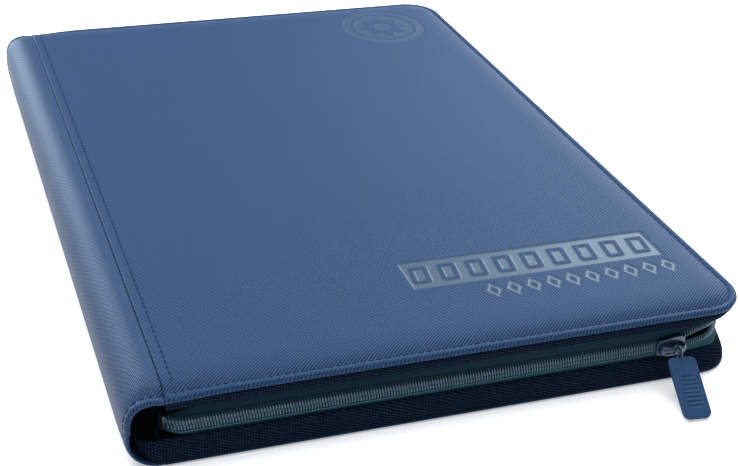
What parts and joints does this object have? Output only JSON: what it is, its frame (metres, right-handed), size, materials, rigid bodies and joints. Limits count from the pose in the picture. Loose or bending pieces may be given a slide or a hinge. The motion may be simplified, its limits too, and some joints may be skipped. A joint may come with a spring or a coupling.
{
  "type": "zip-around trading card binder",
  "caption": "Zip-around binder: two padded covers on a soft spine, side-loading pocket pages, and a coil zip with slider and pull tab round three sides.",
  "frame": {"origin": "middle of the rear cover's outer face, on which the closed binder lies", "axes": "+X from the spine to the opening edge, +Y along the spine, +Z from the rear cover to the front cover"},
  "size_m": [0.26, 0.3776, 0.034],
  "materials": {
    "cover_leather": "satin, fine diagonal grain",
    "edge_tape": "ribbed weave, matt",
    "zip_tape": "twill weave, matt",
    "zip_coil": "satin nylon",
    "zip_metal": "semi-gloss blue paint",
    "pull_plastic": "matt moulded",
    "lining_cloth": "matt",
    "foam": "open cell, matt",
    "stiffener_board": "grey board, matt",
    "page_film": "textured film"
  },
  "bodies": {
    "rear_cover": {"rear_cover_skin": "cover_leather", "rear_cover_foam": "foam", "rear_cover_board": "stiffener_board", "rear_cover_lining": "lining_cloth", "rear_spine_fold": "cover_leather", "rear_edge_tape": "edge_tape", "lower_zip_tape": "zip_tape", "lower_zip_coil": "zip_coil", "zip_bottom_stop": "zip_metal", "lower_zip_top_stop": "zip_metal"},
    "spine": {"spine_panel": "cover_leather", "spine_board": "stiffener_board", "page_binding_strip": "page_film"},
    "front_cover": {"front_cover_skin": "cover_leather", "front_cover_foam": "foam", "front_cover_board": "stiffener_board", "front_cover_lining": "lining_cloth", "front_spine_fold": "cover_leather", "front_edge_tape": "edge_tape", "upper_zip_tape": "zip_tape", "upper_zip_coil": "zip_coil", "upper_zip_top_stop": "zip_metal"},
    "slider": {"slider_body": "zip_metal", "slider_bridge": "zip_metal"},
    "puller": {"pull_link": "zip_metal", "pull_tab": "pull_plastic"},
    "leaf_01": {"leaf_01": "page_film"},
    "leaf_02": {"leaf_02": "page_film"},
    "leaf_03": {"leaf_03": "page_film"},
    "leaf_04": {"leaf_04": "page_film"},
    "leaf_05": {"leaf_05": "page_film"},
    "leaf_06": {"leaf_06": "page_film"},
    "leaf_07": {"leaf_07": "page_film"},
    "leaf_08": {"leaf_08": "page_film"},
    "leaf_09": {"leaf_09": "page_film"},
    "leaf_10": {"leaf_10": "page_film"},
    "leaf_11": {"leaf_11": "page_film"},
    "leaf_12": {"leaf_12": "page_film"},
    "leaf_13": {"leaf_13": "page_film"},
    "leaf_14": {"leaf_14": "page_film"},
    "leaf_15": {"leaf_15": "page_film"},
    "leaf_16": {"leaf_16": "page_film"},
    "leaf_17": {"leaf_17": "page_film"},
    "leaf_18": {"leaf_18": "page_film"},
    "leaf_19": {"leaf_19": "page_film"},
    "leaf_20": {"leaf_20": "page_film"}
  },
  "joints": [
    {"name": "spine_fold", "type": "hinge", "parent": "rear_cover", "child": "spine", "pos_m": [-0.127, 0, 0.003], "axis": [0, -1, 0], "range_deg": [0, 90]},
    {"name": "cover_fold", "type": "hinge", "parent": "spine", "child": "front_cover", "pos_m": [-0.127, 0, 0.031], "axis": [0, -1, 0], "range_deg": [0, 90]},
    {"name": "leaf_01_turn", "type": "hinge", "parent": "spine", "child": "leaf_01", "pos_m": [-0.124, 0, 0.00655], "axis": [0, -1, 0], "range_deg": [-85.5, 0]},
    {"name": "leaf_02_turn", "type": "hinge", "parent": "spine", "child": "leaf_02", "pos_m": [-0.124, 0, 0.00765], "axis": [0, -1, 0], "range_deg": [-76.5, 0]},
    {"name": "leaf_03_turn", "type": "hinge", "parent": "spine", "child": "leaf_03", "pos_m": [-0.124, 0, 0.00875], "axis": [0, -1, 0], "range_deg": [-67.5, 0]},
    {"name": "leaf_04_turn", "type": "hinge", "parent": "spine", "child": "leaf_04", "pos_m": [-0.124, 0, 0.00985], "axis": [0, -1, 0], "range_deg": [-58.5, 0]},
    {"name": "leaf_05_turn", "type": "hinge", "parent": "spine", "child": "leaf_05", "pos_m": [-0.124, 0, 0.01095], "axis": [0, -1, 0], "range_deg": [-49.5, 0]},
    {"name": "leaf_06_turn", "type": "hinge", "parent": "spine", "child": "leaf_06", "pos_m": [-0.124, 0, 0.01205], "axis": [0, -1, 0], "range_deg": [-40.5, 0]},
    {"name": "leaf_07_turn", "type": "hinge", "parent": "spine", "child": "leaf_07", "pos_m": [-0.124, 0, 0.01315], "axis": [0, -1, 0], "range_deg": [-31.5, 0]},
    {"name": "leaf_08_turn", "type": "hinge", "parent": "spine", "child": "leaf_08", "pos_m": [-0.124, 0, 0.01425], "axis": [0, -1, 0], "range_deg": [-22.5, 0]},
    {"name": "leaf_09_turn", "type": "hinge", "parent": "spine", "child": "leaf_09", "pos_m": [-0.124, 0, 0.01535], "axis": [0, -1, 0], "range_deg": [-13.5, 0]},
    {"name": "leaf_10_turn", "type": "hinge", "parent": "spine", "child": "leaf_10", "pos_m": [-0.124, 0, 0.01645], "axis": [0, -1, 0], "range_deg": [-4.5, 0]},
    {"name": "leaf_11_turn", "type": "hinge", "parent": "spine", "child": "leaf_11", "pos_m": [-0.124, 0, 0.01755], "axis": [0, -1, 0], "range_deg": [0, 4.5]},
    {"name": "leaf_12_turn", "type": "hinge", "parent": "spine", "child": "leaf_12", "pos_m": [-0.124, 0, 0.01865], "axis": [0, -1, 0], "range_deg": [0, 13.5]},
    {"name": "leaf_13_turn", "type": "hinge", "parent": "spine", "child": "leaf_13", "pos_m": [-0.124, 0, 0.01975], "axis": [0, -1, 0], "range_deg": [0, 22.5]},
    {"name": "leaf_14_turn", "type": "hinge", "parent": "spine", "child": "leaf_14", "pos_m": [-0.124, 0, 0.02085], "axis": [0, -1, 0], "range_deg": [0, 31.5]},
    {"name": "leaf_15_turn", "type": "hinge", "parent": "spine", "child": "leaf_15", "pos_m": [-0.124, 0, 0.02195], "axis": [0, -1, 0], "range_deg": [0, 40.5]},
    {"name": "leaf_16_turn", "type": "hinge", "parent": "spine", "child": "leaf_16", "pos_m": [-0.124, 0, 0.02305], "axis": [0, -1, 0], "range_deg": [0, 49.5]},
    {"name": "leaf_17_turn", "type": "hinge", "parent": "spine", "child": "leaf_17", "pos_m": [-0.124, 0, 0.02415], "axis": [0, -1, 0], "range_deg": [0, 58.5]},
    {"name": "leaf_18_turn", "type": "hinge", "parent": "spine", "child": "leaf_18", "pos_m": [-0.124, 0, 0.02525], "axis": [0, -1, 0], "range_deg": [0, 67.5]},
    {"name": "leaf_19_turn", "type": "hinge", "parent": "spine", "child": "leaf_19", "pos_m": [-0.124, 0, 0.02635], "axis": [0, -1, 0], "range_deg": [0, 76.5]},
    {"name": "leaf_20_turn", "type": "hinge", "parent": "spine", "child": "leaf_20", "pos_m": [-0.124, 0, 0.02745], "axis": [0, -1, 0], "range_deg": [0, 85.5]},
    {"name": "zip_slide", "type": "slide", "parent": "rear_cover", "child": "slider", "axis": [1, 0, 0], "range_m": [-0.196, 0.005]},
    {"name": "puller_swing", "type": "hinge", "parent": "slider", "child": "puller", "pos_m": [0.0952, -0.1782, 0.0165], "axis": [1, 0, 0], "range_deg": [-120, 56]}
  ],
  "couplings": [
    {"joint": "spine_fold", "follows": "cover_fold", "ratio": 1},
    {"joint": "leaf_01_turn", "follows": "cover_fold", "ratio": -0.95},
    {"joint": "leaf_02_turn", "follows": "cover_fold", "ratio": -0.85},
    {"joint": "leaf_03_turn", "follows": "cover_fold", "ratio": -0.75},
    {"joint": "leaf_04_turn", "follows": "cover_fold", "ratio": -0.65},
    {"joint": "leaf_05_turn", "follows": "cover_fold", "ratio": -0.55},
    {"joint": "leaf_06_turn", "follows": "cover_fold", "ratio": -0.45},
    {"joint": "leaf_07_turn", "follows": "cover_fold", "ratio": -0.35},
    {"joint": "leaf_08_turn", "follows": "cover_fold", "ratio": -0.25},
    {"joint": "leaf_09_turn", "follows": "cover_fold", "ratio": -0.15},
    {"joint": "leaf_10_turn", "follows": "cover_fold", "ratio": -0.05},
    {"joint": "leaf_11_turn", "follows": "cover_fold", "ratio": 0.05},
    {"joint": "leaf_12_turn", "follows": "cover_fold", "ratio": 0.15},
    {"joint": "leaf_13_turn", "follows": "cover_fold", "ratio": 0.25},
    {"joint": "leaf_14_turn", "follows": "cover_fold", "ratio": 0.35},
    {"joint": "leaf_15_turn", "follows": "cover_fold", "ratio": 0.45},
    {"joint": "leaf_16_turn", "follows": "cover_fold", "ratio": 0.55},
    {"joint": "leaf_17_turn", "follows": "cover_fold", "ratio": 0.65},
    {"joint": "leaf_18_turn", "follows": "cover_fold", "ratio": 0.75},
    {"joint": "leaf_19_turn", "follows": "cover_fold", "ratio": 0.85},
    {"joint": "leaf_20_turn", "follows": "cover_fold", "ratio": 0.95}
  ]
}
